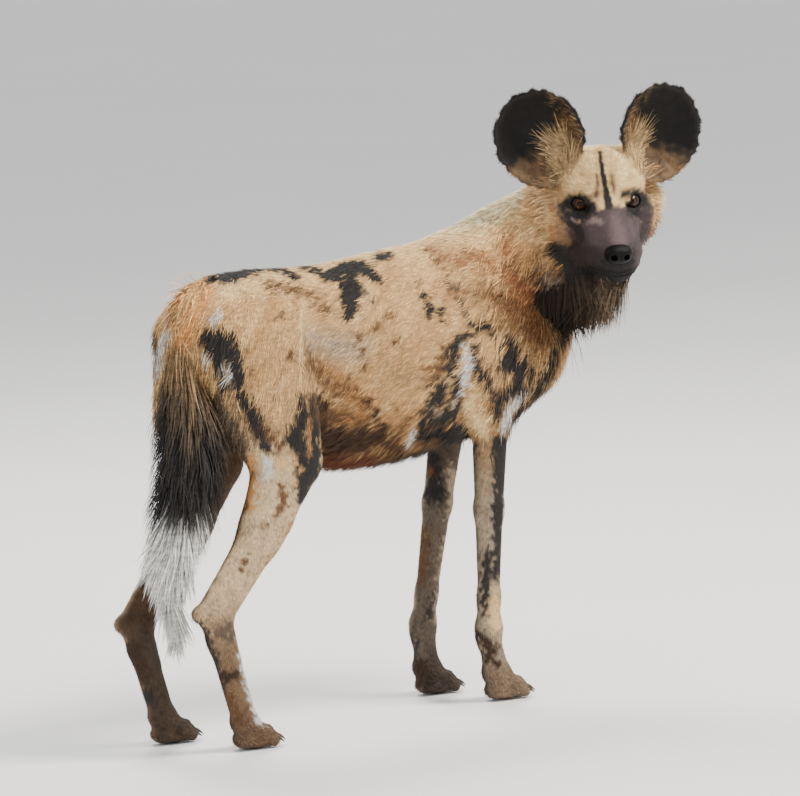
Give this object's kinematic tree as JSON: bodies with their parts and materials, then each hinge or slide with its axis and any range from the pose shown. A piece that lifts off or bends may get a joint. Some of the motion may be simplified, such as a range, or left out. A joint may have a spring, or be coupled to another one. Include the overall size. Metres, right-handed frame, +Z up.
{
  "type": "african wild dog model",
  "caption": "Life-size standing wild dog with large round ears, a bushy tail and its head turned to look at the viewer; it stands on four flat soles.",
  "frame": {"origin": "middle of the bounding box at the level of the four soles", "axes": "+X ahead along the trunk, +Y to the animal's left, +Z up"},
  "size_m": [0.8898, 0.3476, 0.8673],
  "materials": {
    "coat": "short dense fur, tan with black and white blotches",
    "dark_coat": "long dark hair with a white end",
    "nose": "moist leathery skin",
    "eye": "wet gloss",
    "claw": "worn horn"
  },
  "bodies": {
    "root": {"claw_fore_left_1": "claw", "claw_fore_left_2": "claw", "claw_fore_left_3": "claw", "claw_fore_left_4": "claw", "claw_fore_right_1": "claw", "claw_fore_right_2": "claw", "claw_fore_right_3": "claw", "claw_fore_right_4": "claw", "claw_hind_left_1": "claw", "claw_hind_left_2": "claw", "claw_hind_left_3": "claw", "claw_hind_left_4": "claw", "claw_hind_right_1": "claw", "claw_hind_right_2": "claw", "claw_hind_right_3": "claw", "claw_hind_right_4": "claw", "ear_left": "coat", "ear_right": "coat", "eye_left": "eye", "eye_right": "eye", "head": "coat", "leg_fore_left": "coat", "leg_fore_right": "coat", "leg_hind_left": "coat", "leg_hind_right": "coat", "neck": "coat", "nose": "nose", "tail": "dark_coat", "torso": "coat"}
  },
  "joints": []
}
